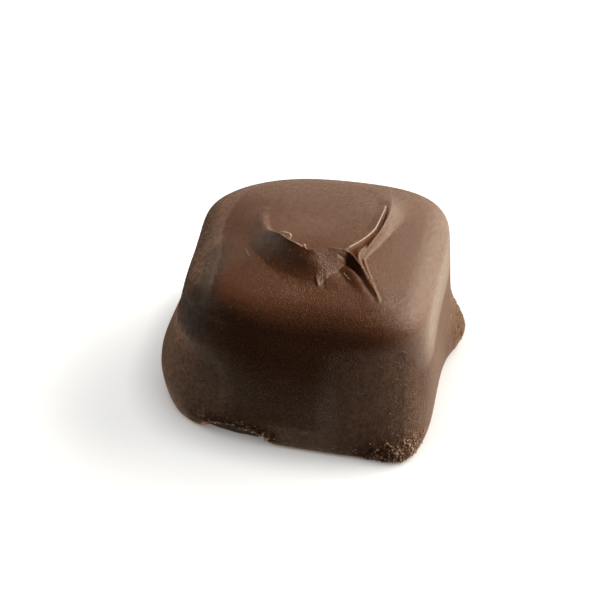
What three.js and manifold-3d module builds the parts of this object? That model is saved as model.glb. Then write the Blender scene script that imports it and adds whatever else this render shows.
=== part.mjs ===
// A hand-dipped chocolate caramel: one rounded square piece under a chocolate coat, wider at its foot
// than at its top, with the ridges that are left where the string of chocolate was pulled off its top.
// Millimetres, +Z up, the front towards -Y. The origin is the middle of the flat base.

import * as THREE from "three";
import Module from "manifold-3d";
import { mergeVertices } from "three/addons/utils/BufferGeometryUtils.js";

// The coat's walls: how far each stands out from the middle, level by level from below the base up to
// the shoulder, where the rounded top edge starts.
const LEVELS = [-1.2, 0, 1.2, 3.6, 7.0, 10.4, 13.4];
const WALLS = {
  left: [-12.3, -12.9, -13.5, -13.9, -13.3, -12.7, -12.3],
  right: [12.9, 13.5, 13.8, 13.7, 13.5, 13.2, 12.9],
  front: [-13.0, -13.5, -13.6, -13.5, -13.4, -13.0, -12.1],
  back: [12.3, 12.9, 13.2, 13.3, 13.2, 13.1, 13.0],
};
const FOOT_CORNERS = 4.8; // exponent of the outline's rounded square at the base: more is squarer
const TOP_CORNERS = 4.1;

// The rounded top edge and the low dome inside it
const EDGE_INSET = 4.05;
const EDGE_RISE = 2.8;
const DOME_RISE = 1.1;
const DOME_SHARE = 0.7; // share of the top's grid that the dome takes, the rest being the rounded edge

const ACROSS = 34; // faces along each side of the top
const UP = 13; // faces up each wall
const RIDGE_FACE = 0.55; // length of the faces along the ridges and hollows

// Places where the coat ran, pooled or caved in while it was soft
const PULLS = [
  { name: "left bulge", at: [-13.6, -3.5, 3.4], reach: [4, 7, 4], move: [-0.9, 0, 0] },
  { name: "full back right corner", at: [12.0, 11.5, 15], reach: [9, 8, 8], move: [0.3, 0.5, -0.2] },
  { name: "drawn back left corner", at: [-11.5, 11.5, 14], reach: [7, 7, 8], move: [-0.4, -2.9, 0] },
  { name: "drawn front left corner", at: [-11.5, -12, 7], reach: [6, 6, 9], move: [-0.1, 1.4, 0] },
  { name: "full front right corner", at: [12.5, -12, 8], reach: [6, 6, 8], move: [1.1, 0.4, 0] },
  { name: "soft left rim", at: [-10.6, -3.0, 15.7], reach: [3.2, 7, 3], move: [0.2, 0, -0.5] },
  { name: "soft front rim", at: [2.0, -11.4, 15.0], reach: [7, 2.4, 3], move: [0, 0.35, -0.25] },
  { name: "foot at the front right", at: [12.2, -12.2, 0.6], reach: [3.4, 3.0, 1.7], move: [0.1, -1.3, 0] },
  { name: "foot at the right side", at: [14.4, 7.4, 1.8], reach: [3, 3.6, 2.4], move: [1.9, 0, 0] },
];

// The gap over the foot at the front left, where the coat's lower rim has chipped
const CHIP = { at: [-5.1, -13.9, 0.62], radii: [2.9, 1.1, 0.5] };

// The pulled ridge that runs from the left over the middle and ends in a tail. Each station gives its
// crest's place, how high it stands over the dome, how far its back and front slopes run out, and how
// far the crest leans to the front.
const SUNK = 0.9; // how deep the undersides of the ridges lie in the coat
const FOOT_SUNK = 0.1; // how deep the feet of their slopes lie
const CREST_HALF = 0.1; // half the width of a crest
const WAVE = [
  { at: [-5.7, 2.3], high: 0.1, back: 0.7, front: 0.6, lean: 0 },
  { at: [-5.1, 0.6], high: 0.45, back: 1.0, front: 1.0, lean: 0 },
  { at: [-4.4, -0.9], high: 0.8, back: 1.3, front: 1.5, lean: 0 },
  { at: [-3.2, -2.0], high: 1.1, back: 1.6, front: 1.8, lean: 0 },
  { at: [-1.9, -3.0], high: 1.3, back: 1.8, front: 2.0, lean: 0.1 },
  { at: [-0.6, -3.7], high: 1.4, back: 1.9, front: 2.0, lean: 0.15 },
  { at: [0.6, -3.9], high: 1.35, back: 1.8, front: 1.7, lean: 0.15 },
  { at: [1.8, -3.4], high: 1.25, back: 1.6, front: 0.9, lean: 0.2 },
  { at: [3.0, -3.1], high: 1.2, back: 1.5, front: 0.6, lean: 0.25 },
  { at: [4.3, -3.5], high: 1.15, back: 1.4, front: 0.6, lean: 0.3 },
  { at: [5.1, -4.2], high: 1.0, back: 1.2, front: 0.6, lean: 0.3 },
  { at: [5.8, -5.1], high: 0.8, back: 1.0, front: 0.6, lean: 0.2 },
  { at: [6.8, -6.2], high: 0.45, back: 0.7, front: 0.5, lean: 0.1 },
  { at: [7.9, -7.9], high: 0.05, back: 0.3, front: 0.3, lean: 0 },
];

// The arm that branches off to the back. Beyond its crest lies a groove, then a rounded bank.
const ARM = [
  { at: [3.6, -3.0], high: 1.15, back: 1.4, groove: 1.8, bank: 0.8, bankHigh: 0.6 },
  { at: [4.1, -2.2], high: 1.15, back: 1.4, groove: 1.3, bank: 1.2, bankHigh: 0.65 },
  { at: [4.8, -1.2], high: 1.1, back: 1.3, groove: 0.8, bank: 1.5, bankHigh: 0.65 },
  { at: [5.3, 0.0], high: 1.05, back: 1.2, groove: 0.45, bank: 1.8, bankHigh: 0.65 },
  { at: [5.8, 1.4], high: 1.0, back: 1.1, groove: 0.35, bank: 2.0, bankHigh: 0.65 },
  { at: [6.0, 3.3], high: 0.9, back: 1.0, groove: 0.3, bank: 2.3, bankHigh: 0.6 },
  { at: [6.1, 5.4], high: 0.65, back: 0.8, groove: 0.3, bank: 2.3, bankHigh: 0.5 },
  { at: [5.8, 8.2], high: 0.05, back: 0.4, groove: 0.2, bank: 1.4, bankHigh: 0.05 },
];

// A short rib that props the middle of the ridge, and the low swell between it and the tail
const RIB = [
  { at: [1.3, -3.8], high: 1.1, back: 0.7, front: 0.6, lean: 0 },
  { at: [1.2, -5.1], high: 0.65, back: 0.6, front: 0.5, lean: 0 },
  { at: [1.3, -6.0], high: 0.35, back: 0.5, front: 0.4, lean: 0 },
  { at: [1.5, -6.9], high: 0.05, back: 0.3, front: 0.3, lean: 0 },
];
const SWELL = { at: [3.2, -4.5], over: -1.1, radii: [2.3, 2.2, 1.55] };

// The hollows that the pull left: balls swept along a path, by their places, how high their centres
// lie over the dome, and their radii
const SCOOP = [
  { at: [-5.6, -0.4], over: 0.5, radius: 0.6 },
  { at: [-5.1, -2.0], over: 0.9, radius: 1.25 },
  { at: [-3.9, -3.5], over: 1.15, radius: 1.6 },
  { at: [-2.5, -4.8], over: 1.5, radius: 1.95 },
  { at: [-1.1, -5.7], over: 1.7, radius: 2.15 },
  { at: [0.3, -6.0], over: 1.6, radius: 2.0 },
  { at: [1.1, -6.1], over: 1.0, radius: 1.1 },
];
const UNDERCUT = [
  { at: [2.7, -3.6], over: 0.7, radius: 0.3 },
  { at: [4.0, -4.0], over: 0.5, radius: 0.5 },
  { at: [4.9, -4.8], over: 0.35, radius: 0.55 },
  { at: [5.7, -5.9], over: 0.2, radius: 0.4 },
  { at: [6.6, -6.9], over: 0.15, radius: 0.25 },
];
const DIMPLE = [
  { at: [1.9, -5.1], over: 0.3, radius: 0.3 },
  { at: [2.1, -5.9], over: 0.1, radius: 0.5 },
  { at: [2.4, -6.8], over: 0.1, radius: 0.2 },
];

const COAT_COLOUR = 0x4b2c1f;

// A smooth curve through a wall's distances and the shared levels
function wallCurve(distances) {
  return new THREE.SplineCurve(LEVELS.map((z, i) => new THREE.Vector2(distances[i], z)));
}
const wallCurves = Object.fromEntries(
  Object.entries(WALLS).map(([side, distances]) => [side, wallCurve(distances)]),
);

// How far a point on the edge of a square is drawn in when the square's corners are rounded
function roundedSquare(u, v, corners) {
  return (Math.abs(u) ** corners + Math.abs(v) ** corners) ** (-1 / corners);
}

// The outline at a share of the way up the walls, drawn in by an inset
function outlinePoint(u, v, share, inset, corners) {
  const x = (u < 0 ? wallCurves.left : wallCurves.right).getPoint(share);
  const y = (v < 0 ? wallCurves.front : wallCurves.back).getPoint(share);
  const draw = roundedSquare(u, v, corners);
  return new THREE.Vector3(
    Math.abs(u) * draw * (x.x - Math.sign(x.x) * inset),
    Math.abs(v) * draw * (y.x - Math.sign(y.x) * inset),
    x.y,
  );
}

// The rounded edge stops where its slope is the dome's, so that no crease shows between them
const MEAN_HALF = (WALLS.right.at(-1) - WALLS.left.at(-1)) / 2 - EDGE_INSET;
const EDGE_END = Math.atan((EDGE_RISE * MEAN_HALF) / (EDGE_INSET * 2 * DOME_RISE));
const RIM_INSET = EDGE_INSET * (1 - Math.cos(EDGE_END));
const RIM_HEIGHT = LEVELS.at(-1) + EDGE_RISE * Math.sin(EDGE_END);

// The height of the dome over a place on the top
function domeHeight(x, y) {
  const halfX = Math.abs((x < 0 ? WALLS.left : WALLS.right).at(-1)) - RIM_INSET;
  const halfY = Math.abs((y < 0 ? WALLS.front : WALLS.back).at(-1)) - RIM_INSET;
  const out = 1 / roundedSquare(x / halfX, y / halfY, TOP_CORNERS);
  return RIM_HEIGHT + DOME_RISE * (1 - Math.min(1, out * out));
}

// Moves a point of a cube from -1 to 1 onto the coat
function onCoat(u, v, w) {
  const ring = Math.max(Math.abs(u), Math.abs(v));
  if (ring === 0) return new THREE.Vector3(0, 0, w > 0 ? RIM_HEIGHT + DOME_RISE : LEVELS[0]);
  const [edgeU, edgeV] = [u / ring, v / ring];
  if (w < 1) {
    const share = (w + 1) / 2;
    const corners = THREE.MathUtils.lerp(FOOT_CORNERS, TOP_CORNERS, share);
    const p = outlinePoint(edgeU, edgeV, share, 0, corners);
    return w > -1 ? p : new THREE.Vector3(p.x * ring, p.y * ring, p.z);
  }
  const turn = EDGE_END * Math.min(1, (1 - ring) / (1 - DOME_SHARE));
  const p = outlinePoint(edgeU, edgeV, 1, EDGE_INSET * (1 - Math.cos(turn)), TOP_CORNERS);
  p.z += EDGE_RISE * Math.sin(turn);
  if (ring >= DOME_SHARE) return p;
  const out = ring / DOME_SHARE;
  return new THREE.Vector3(p.x * out, p.y * out, p.z + DOME_RISE * (1 - out * out));
}

// Adds every pull, each fading smoothly over its reach
function pulled(p) {
  const moved = p.clone();
  for (const { at, reach, move } of PULLS) {
    const far = Math.hypot((p.x - at[0]) / reach[0], (p.y - at[1]) / reach[1], (p.z - at[2]) / reach[2]);
    moved.addScaledVector(new THREE.Vector3(...move), Math.exp(-far * far));
  }
  return moved;
}

function coatGeometry() {
  const geometry = new THREE.BoxGeometry(2, 2, 2, ACROSS, ACROSS, UP);
  const places = geometry.getAttribute("position");
  for (let i = 0; i < places.count; i++) {
    const p = pulled(onCoat(places.getX(i), places.getY(i), places.getZ(i)));
    places.setXYZ(i, p.x, p.y, p.z);
  }
  return geometry;
}

// A closed skin over a row of rings, each with the same number of points, with both ends fanned shut
function loft(rings) {
  const around = rings[0].length;
  const points = rings.flat();
  const faces = [];
  for (let r = 0; r < rings.length - 1; r++) {
    for (let i = 0; i < around; i++) {
      const [a, b] = [r * around + i, r * around + ((i + 1) % around)];
      const [c, d] = [a + around, b + around];
      faces.push(a, b, d, a, d, c);
    }
  }
  for (const [start, turned] of [[0, true], [(rings.length - 1) * around, false]]) {
    for (let i = 1; i < around - 1; i++) {
      faces.push(start, ...(turned ? [start + i + 1, start + i] : [start + i, start + i + 1]));
    }
  }
  const geometry = new THREE.BufferGeometry().setFromPoints(points);
  geometry.setIndex(faces);
  return geometry;
}

// A value of the stations, in even steps between one and the next
function between(stations, key, t) {
  const place = t * (stations.length - 1);
  const i = Math.min(stations.length - 2, Math.floor(place));
  return THREE.MathUtils.lerp(stations[i][key], stations[i + 1][key], place - i);
}

function pathOf(stations) {
  return new THREE.SplineCurve(stations.map(({ at }) => new THREE.Vector2(...at)));
}

// The section of a leaning ridge, from the back slope over the crest to the front slope, as pairs of
// how far out to the front and how far up from the dome, in shares of its sizes. It shuts under the coat.
function leaningSection({ high, back, front, lean }) {
  const half = Math.min(CREST_HALF, back / 4);
  return [
    [-back, -SUNK],
    [-back, -FOOT_SUNK],
    [-back * 0.55, high * 0.3],
    [lean - back * 0.25, high * 0.72],
    [lean - half, high],
    [lean + half, high * 0.97],
    [lean * 0.5 + half + front * 0.2, high * 0.5],
    [front, -FOOT_SUNK],
    [front, -SUNK],
  ];
}

// The section of the arm: a thin crest, the groove beside it and the rounded bank beyond
function groovedSection({ high, back, groove, bank, bankHigh }) {
  const grooveHigh = bankHigh * 0.6;
  return [
    [-back, -SUNK],
    [-back, -FOOT_SUNK],
    [-back * 0.35, high * 0.45],
    [-CREST_HALF, high],
    [CREST_HALF, high],
    [groove, grooveHigh],
    [groove + bank * 0.25, bankHigh],
    [groove + bank * 0.55, bankHigh * 0.75],
    [groove + bank, -FOOT_SUNK],
    [groove + bank, -SUNK],
  ];
}

// A ridge over the dome, with its section carried along the stations' path
function ridgeGeometry(stations, sectionOf) {
  const path = pathOf(stations);
  const steps = Math.ceil(path.getLength() / RIDGE_FACE);
  const keys = Object.keys(stations[0]).filter((key) => key !== "at");
  const rings = [];
  for (let s = 0; s <= steps; s++) {
    const t = s / steps;
    const at = path.getPoint(t);
    const along = path.getTangent(t);
    const front = new THREE.Vector2(along.y, -along.x);
    const sizes = Object.fromEntries(keys.map((key) => [key, between(stations, key, t)]));
    const floor = domeHeight(at.x, at.y);
    rings.push(
      sectionOf(sizes).map(
        ([out, up]) => new THREE.Vector3(at.x + front.x * out, at.y + front.y * out, floor + up),
      ),
    );
  }
  return loft(rings);
}

// A hollow swept along its path by a ball that grows and shrinks
function sweptGeometry(stations, around) {
  const path = pathOf(stations);
  const steps = Math.ceil(path.getLength() / RIDGE_FACE);
  const rings = [];
  for (let s = 0; s <= steps; s++) {
    const t = s / steps;
    const at = path.getPoint(t);
    const along = path.getTangent(t);
    const across = new THREE.Vector2(along.y, -along.x);
    const rounded = Math.max(0.15, Math.sin(Math.PI * t) ** 0.5); // shuts both ends roundly
    const radius = between(stations, "radius", t) * rounded;
    const height = domeHeight(at.x, at.y) + between(stations, "over", t);
    const ring = [];
    for (let i = 0; i < around; i++) {
      const turn = (2 * Math.PI * i) / around;
      const out = radius * Math.cos(turn);
      const down = radius * Math.sin(turn);
      ring.push(new THREE.Vector3(at.x + across.x * out, at.y + across.y * out, height - down));
    }
    rings.push(ring);
  }
  return loft(rings);
}

const wasm = await Module();
wasm.setup();

// A geometry as a solid that can be joined and cut
function solidOf(geometry) {
  const bare = new THREE.BufferGeometry().setAttribute("position", geometry.getAttribute("position"));
  bare.setIndex(geometry.index);
  const merged = mergeVertices(bare, 1e-4);
  const solid = new wasm.Manifold(
    new wasm.Mesh({
      numProp: 3,
      vertProperties: merged.getAttribute("position").array,
      triVerts: new Uint32Array(merged.index.array),
    }),
  );
  if (solid.volume() > 0) return solid;
  for (let i = 0; i < merged.index.count; i += 3) {
    const second = merged.index.getX(i + 1);
    merged.index.setX(i + 1, merged.index.getX(i + 2));
    merged.index.setX(i + 2, second);
  }
  return solidOf(merged);
}

function geometryOf(solid) {
  const { vertProperties, triVerts } = solid.getMesh();
  const geometry = new THREE.BufferGeometry();
  geometry.setAttribute("position", new THREE.BufferAttribute(new Float32Array(vertProperties), 3));
  geometry.setIndex(new THREE.BufferAttribute(new Uint32Array(triVerts), 1));
  return geometry;
}

function swellGeometry() {
  const [x, y] = SWELL.at;
  return new THREE.SphereGeometry(1, 20, 10)
    .rotateX(Math.PI / 2)
    .scale(...SWELL.radii)
    .translate(x, y, domeHeight(x, y) + SWELL.over);
}

function chipGeometry() {
  return new THREE.SphereGeometry(1, 20, 12).scale(...CHIP.radii).translate(...CHIP.at);
}

// All that lies below the base, which this cuts off flat
function belowBase() {
  const size = 3 * WALLS.right[1];
  return new THREE.BoxGeometry(size, size, size).translate(0, 0, -size / 2);
}

const chocolate = solidOf(coatGeometry())
  .add(solidOf(ridgeGeometry(WAVE, leaningSection)))
  .add(solidOf(ridgeGeometry(ARM, groovedSection)))
  .add(solidOf(swellGeometry()))
  .subtract(solidOf(sweptGeometry(SCOOP, 24)))
  .add(solidOf(ridgeGeometry(RIB, leaningSection)))
  .subtract(solidOf(sweptGeometry(UNDERCUT, 12)))
  .subtract(solidOf(sweptGeometry(DIMPLE, 10)))
  .subtract(solidOf(chipGeometry()))
  .subtract(solidOf(belowBase()));

const geometry = geometryOf(chocolate);
geometry.computeBoundingBox();
const middle = geometry.boundingBox.getCenter(new THREE.Vector3());
geometry.translate(-middle.x, -middle.y, 0);
geometry.computeVertexNormals();

const piece = new THREE.Mesh(
  geometry,
  new THREE.MeshStandardMaterial({ color: COAT_COLOUR, roughness: 0.42, metalness: 0 }),
);
piece.name = "chocolate_caramel";

const group = new THREE.Group();
group.add(piece);

export default group;
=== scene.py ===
# %% [markdown]
# # A hand-dipped chocolate caramel
# The sweet in the photo is one piece: a soft square centre that was dipped in chocolate and set down on
# a tray. The coat is all that shows. It bulges a little over the foot, rounds softly into a low domed
# top, and carries the ridge that was left where the last string of chocolate was pulled off.
#
# Blender works in metres here, and sizes are written in millimetres times MM.

import math

import bmesh
import bpy
import numpy as np
from mathutils import Matrix, Vector


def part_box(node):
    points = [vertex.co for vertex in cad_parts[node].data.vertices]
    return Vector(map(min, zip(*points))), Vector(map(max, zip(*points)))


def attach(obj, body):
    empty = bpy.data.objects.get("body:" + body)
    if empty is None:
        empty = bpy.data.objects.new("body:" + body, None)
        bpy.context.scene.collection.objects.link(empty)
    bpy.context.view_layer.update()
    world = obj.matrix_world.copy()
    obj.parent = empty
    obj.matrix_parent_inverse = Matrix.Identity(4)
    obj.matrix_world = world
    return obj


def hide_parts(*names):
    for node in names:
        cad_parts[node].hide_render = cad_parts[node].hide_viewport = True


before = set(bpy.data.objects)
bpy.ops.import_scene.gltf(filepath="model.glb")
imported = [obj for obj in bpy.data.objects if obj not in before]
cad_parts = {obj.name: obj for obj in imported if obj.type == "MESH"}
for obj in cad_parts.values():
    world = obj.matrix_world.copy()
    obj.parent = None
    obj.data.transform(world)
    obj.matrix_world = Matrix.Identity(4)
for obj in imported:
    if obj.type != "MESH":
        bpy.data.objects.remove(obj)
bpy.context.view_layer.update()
MM = 0.001
NODE = "chocolate_caramel"
low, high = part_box(NODE)
print("The packed sweet measures", [round(v / MM, 1) for v in high - low], "mm")

# %% [markdown]
# ## The camera
# The photo was taken with a long lens from a little to the right of the front and well above, with the
# horizon tipped by two degrees. A long lens shows parallel edges almost parallel, so the proportions of
# the sweet can be read straight from its outline.

# %% The camera's place
VIEW_ROUND = math.radians(10)  # towards +X from the front
VIEW_UP = math.radians(40)
ROLL = math.radians(2)
DISTANCE = 233 * MM
LOOKED_AT = Vector((-1.84, 1.41, 7.17)) * MM

backwards = Vector(
    (math.sin(VIEW_ROUND) * math.cos(VIEW_UP), -math.cos(VIEW_ROUND) * math.cos(VIEW_UP), math.sin(VIEW_UP))
)
level = Vector((math.cos(VIEW_ROUND), math.sin(VIEW_ROUND), 0))
upright = backwards.cross(level)
across = level * math.cos(ROLL) + upright * math.sin(ROLL)
upwards = upright * math.cos(ROLL) - level * math.sin(ROLL)

camera = bpy.data.objects.new("camera", bpy.data.cameras.new("camera"))
bpy.context.scene.collection.objects.link(camera)
camera.matrix_world = Matrix.Translation(LOOKED_AT + backwards * DISTANCE) @ Matrix(
    (across, upwards, backwards)
).transposed().to_4x4()
camera.data.lens = 135
camera.data.sensor_width = 36
camera.data.clip_start = 10 * MM
bpy.context.scene.camera = camera
print("The camera stands", round(DISTANCE / MM), "mm away")


# %% [markdown]
# ## Small helpers
# Every operator acts on what is selected, so each step starts by selecting exactly what it means to
# change: an object, or the corners of a mesh by their place.


# %% Helpers for objects
def alone(piece):
    """Selects one object and nothing else."""
    bpy.ops.object.select_all(action="DESELECT")
    piece.select_set(True)
    bpy.context.view_layer.objects.active = piece


def named(name):
    """Names the primitive that was just added, and its mesh."""
    piece = bpy.context.object
    piece.name = piece.data.name = name
    return piece


def edit(piece):
    """Selects one object alone and opens its mesh for editing."""
    alone(piece)
    bpy.ops.object.mode_set(mode="EDIT")


def leave():
    """Closes the mesh, so that modifiers and painting see its new shape."""
    bpy.ops.object.mode_set(mode="OBJECT")


def finish(piece, kind, **settings):
    """Adds a modifier with these settings and applies it."""
    alone(piece)
    modifier = piece.modifiers.new(kind.lower(), kind)
    for key, value in settings.items():
        setattr(modifier, key, value)
    bpy.ops.object.modifier_apply(modifier=modifier.name)


# %% Helpers for corners and faces
def pick(piece, wanted, kind="VERT"):
    """Selects the corners or the faces of a mesh in edit mode that pass a test."""
    bpy.ops.mesh.select_mode(type=kind)
    bpy.ops.mesh.select_all(action="DESELECT")
    mesh = bmesh.from_edit_mesh(piece.data)
    parts = mesh.verts if kind == "VERT" else mesh.faces
    parts.index_update()
    for part in parts:
        part.select = bool(wanted(part))
    mesh.select_flush_mode()
    bmesh.update_edit_mesh(piece.data)


def places(piece, what="co"):
    """The places of a mesh's corners, or their normals, as rows of x, y and z."""
    rows = np.empty(len(piece.data.vertices) * 3, np.float32)
    piece.data.vertices.foreach_get(what, rows)
    return rows.reshape(-1, 3).astype(float)


def paint(piece, name, weights):
    """Paints a vertex group with one weight from 0 to 1 for each corner."""
    group = piece.vertex_groups.new(name=name)
    steps = np.round(np.clip(weights, 0, 1) * 1000).astype(int)
    for step in np.unique(steps[steps > 0]):
        group.add(np.nonzero(steps == step)[0].tolist(), step / 1000, "REPLACE")


# %% [markdown]
# ## The coat
# The coat could be carved from a sphere or a cube, but its walls are four flat-ish sides that lean
# differently, so it is drawn up from its foot instead: a square with rounded corners is extruded level
# by level, and each level is stretched to where the walls stand there. Insets then roll the top edge
# over into the dome.

# %% The walls, drawn up from the foot
OFF_MIDDLE = Vector((-0.317, 0.139)) * MM  # from the walls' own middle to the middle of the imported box
LEVELS = (0, 1.2, 3.6, 7.0, 10.4, 13.4)
LEFT = (12.9, 13.5, 13.9, 13.3, 12.7, 12.3)
RIGHT = (13.5, 13.8, 13.7, 13.5, 13.2, 12.9)
FRONT = (13.5, 13.6, 13.5, 13.4, 13.0, 12.1)
BACK = (12.9, 13.2, 13.3, 13.2, 13.1, 13.0)
CORNER = 6.4 * MM
CORNER_FACES = 8


def level_box(i):
    """The middle and the size of the outline at a level."""
    middle = Vector(((RIGHT[i] - LEFT[i]) / 2, (BACK[i] - FRONT[i]) / 2)) * MM + OFF_MIDDLE
    size = Vector((RIGHT[i] + LEFT[i], BACK[i] + FRONT[i])) * MM
    return middle, size


middle, size = level_box(0)
bpy.ops.mesh.primitive_plane_add(size=1, location=(middle.x, middle.y, 0))
coat = named("coat")
edit(coat)
bpy.ops.mesh.select_all(action="SELECT")
bpy.ops.transform.resize(value=(size.x, size.y, 1))
bpy.ops.mesh.bevel(offset=CORNER, segments=CORNER_FACES, affect="VERTICES")
for i in range(1, len(LEVELS)):
    next_middle, next_size = level_box(i)
    rise = (LEVELS[i] - LEVELS[i - 1]) * MM
    bpy.ops.mesh.extrude_region_move(TRANSFORM_OT_translate={"value": (0, 0, rise)})
    bpy.ops.transform.resize(
        value=(next_size.x / size.x, next_size.y / size.y, 1), center_override=(middle.x, middle.y, 0)
    )
    shift = next_middle - middle
    bpy.ops.transform.translate(value=(shift.x, shift.y, 0))
    middle, size = next_middle, next_size
leave()
bpy.ops.object.transform_apply()
print("The walls rise to", round(max(places(coat)[:, 2]) / MM, 1), "mm")

# %% The rounded top edge and the dome
EDGE_INSET = 4.05 * MM
EDGE_RISE = 2.8 * MM
DOME_RISE = 1.1 * MM
EDGE_STEPS = 5
DOME_STEPS = 5
DOME_SPAN = DOME_STEPS + 0.3  # steps to the middle; a poke closes the rest
NEAR = 0.1 * MM  # this close to a height counts as at it
top_half = size.x / 2
edge_end = math.atan(EDGE_RISE * (top_half - EDGE_INSET) / (EDGE_INSET * 2 * DOME_RISE))

edit(coat)
top_height = LEVELS[-1] * MM
pick(coat, lambda corner: corner.co.z > top_height - NEAR)
inset, rise = 0.0, 0.0
for step in range(1, EDGE_STEPS + 1):
    turn = edge_end * step / EDGE_STEPS
    next_inset, next_rise = EDGE_INSET * (1 - math.cos(turn)), EDGE_RISE * math.sin(turn)
    bpy.ops.mesh.inset(thickness=next_inset - inset)
    bpy.ops.transform.translate(value=(0, 0, next_rise - rise))
    inset, rise = next_inset, next_rise
for step in range(1, DOME_STEPS + 1):
    out = 1 - step / DOME_SPAN
    bpy.ops.mesh.extrude_region_move()
    ratio = out / (1 - (step - 1) / DOME_SPAN)
    bpy.ops.transform.resize(value=(ratio, ratio, 1), center_override=(middle.x, middle.y, 0))
    bpy.ops.transform.translate(value=(0, 0, DOME_RISE * ((out / ratio) ** 2 - out**2)))
bpy.ops.mesh.poke()
bpy.ops.mesh.select_all(action="SELECT")
bpy.ops.mesh.normals_make_consistent()
leave()
print("The dome tops out at", round(max(places(coat)[:, 2]) / MM, 1), "mm")

# %% [markdown]
# The real walls aren't regular. A hand-dipped coat sags to one side, one corner is drawn in where the
# fork lifted it, and two feet ran out over the tray. Proportional editing pulls one corner of the mesh
# and lets the skin round it follow less and less, which is how a soft coat gives.

# %% The coat pulled out of square
PULLS = (  # place, how far round it the skin follows, and the move
    ((-13.6, -3.5, 3.4), 8.0, (-0.9, 0, 0)),
    ((12.0, 11.5, 15.0), 13.5, (0.3, 0.5, -0.2)),
    ((-11.5, 11.5, 14.0), 12.0, (-0.4, -2.9, 0)),
    ((-11.5, -12.0, 7.0), 11.5, (-0.1, 1.4, 0)),
    ((12.5, -12.0, 8.0), 11.0, (1.1, 0.4, 0)),
    ((-10.6, -3.0, 15.7), 6.0, (0.2, 0, -0.5)),
    ((2.0, -11.4, 15.0), 6.0, (0, 0.35, -0.25)),
    ((12.2, -12.2, 0.6), 4.5, (0.1, -1.3, 0)),
    ((14.4, 7.4, 1.8), 5.0, (1.9, 0, 0)),
)
SAME_PLACE = 0.001 * MM  # corners closer than this are one corner
finish(coat, "SUBSURF", levels=3)
for place, reach, move in PULLS:
    spot = np.array(place) * MM + OFF_MIDDLE.to_3d()
    gap = np.linalg.norm(places(coat) - spot, axis=1)
    nearest = coat.data.vertices[int(gap.argmin())].co.copy()
    edit(coat)
    pick(coat, lambda corner: (corner.co - nearest).length < SAME_PLACE)
    bpy.ops.transform.translate(
        value=[v * MM for v in move],
        use_proportional_edit=True,
        proportional_edit_falloff="SMOOTH",
        proportional_size=reach * MM,
    )
    leave()
print("The coat has", len(coat.data.polygons), "faces after", len(PULLS), "pulls")

# %% [markdown]
# ## The lines of the ridge
# The ridge is where the last of the chocolate was pulled off the fork: a wave that breaks to the front
# over a hollow, a soft fold that turns in at its left end, an arm that runs to the back with a round
# bank on its right, and a tail that runs out to the front corner. Small forms join them: the web of skin
# between lip, arm and tail, the gap under the lip with a soft foot past it, and a mound, a dimple and the
# stub of a rib in front. Each is a line over the dome with a height at every station, so it is written as
# that: a few stations, and a smooth curve through them.

# %% Stations of the wave and its branches
# Places and heights are in millimetres, from the walls' middle and over the dome. After the height come
# how far the form runs out to the left of its line and to the right of it.
WAVE = (  # and last, how far the crest leans out over the gap
    (-5.6, 1.9, 0.06, 0.7, 1.6, 0.0), (-5.31, 0.8, 0.2, 0.7, 2.0, 0.0), (-4.93, -0.15, 0.48, 0.8, 1.8, 0.0),
    (-4.57, -1.1, 0.9, 1.0, 2.1, 0.02), (-3.9, -1.92, 1.4, 1.1, 2.45, 0.05),
    (-3.16, -2.4, 1.6, 1.15, 2.8, 0.06), (-2.22, -3.08, 1.68, 1.15, 3.0, 0.06),
    (-1.34, -3.55, 1.7, 1.15, 3.2, 0.06), (-0.59, -3.94, 1.68, 1.15, 3.4, 0.06),
    (0.14, -4.2, 1.62, 1.15, 3.3, 0.08), (0.56, -4.12, 1.62, 1.15, 3.35, 0.1),
    (0.96, -3.85, 1.61, 1.15, 3.45, 0.12), (1.53, -3.47, 1.58, 1.1, 3.5, 0.12),
    (2.3, -3.24, 1.51, 1.1, 3.1, 0.12), (2.97, -3.19, 1.36, 0.9, 2.4, 0.16),
    (3.74, -3.07, 1.15, 0.8, 1.2, 0.24), (4.34, -3.35, 1.0, 0.7, 0.5, 0.3),
    (5.05, -4.03, 0.85, 0.4, 0.6, 0.28), (5.64, -4.82, 0.7, 0.3, 0.85, 0.16),
    (5.96, -5.27, 0.6, 0.26, 0.9, 0.06), (6.55, -5.99, 0.42, 0.22, 0.8, 0.0),
    (7.25, -6.8, 0.24, 0.2, 0.6, 0.0), (7.92, -7.7, 0.03, 0.2, 0.35, 0.0),
)
PLATEAU = (  # the plateau inside the bend of the wave and the arm, on its line's left only
    (-5.3, 0.6, 0.08, 3.0), (-4.9, -0.5, 0.25, 4.0), (-3.9, -2.0, 0.42, 5.5), (-2.2, -3.1, 0.48, 6.0),
    (-0.6, -3.9, 0.5, 6.0), (1.0, -3.8, 0.5, 6.0), (2.3, -3.2, 0.55, 6.0), (3.7, -2.8, 0.62, 5.5),
    (4.75, -1.1, 0.64, 5.0), (5.77, 1.45, 0.58, 4.5), (6.01, 3.4, 0.5, 4.0), (6.14, 5.4, 0.36, 3.5),
    (6.08, 6.8, 0.18, 3.0), (5.66, 8.2, 0.02, 2.5),
)
FOLD = (
    (-5.78, 3.1, 0.03, 0.8, 0.9), (-5.73, 2.12, 0.2, 1.0, 1.0), (-5.62, 1.1, 0.36, 1.2, 1.1),
    (-5.3, 0.08, 0.44, 1.3, 1.1), (-4.85, -0.84, 0.45, 1.2, 1.0), (-4.44, -1.34, 0.35, 1.1, 0.9),
)
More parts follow.
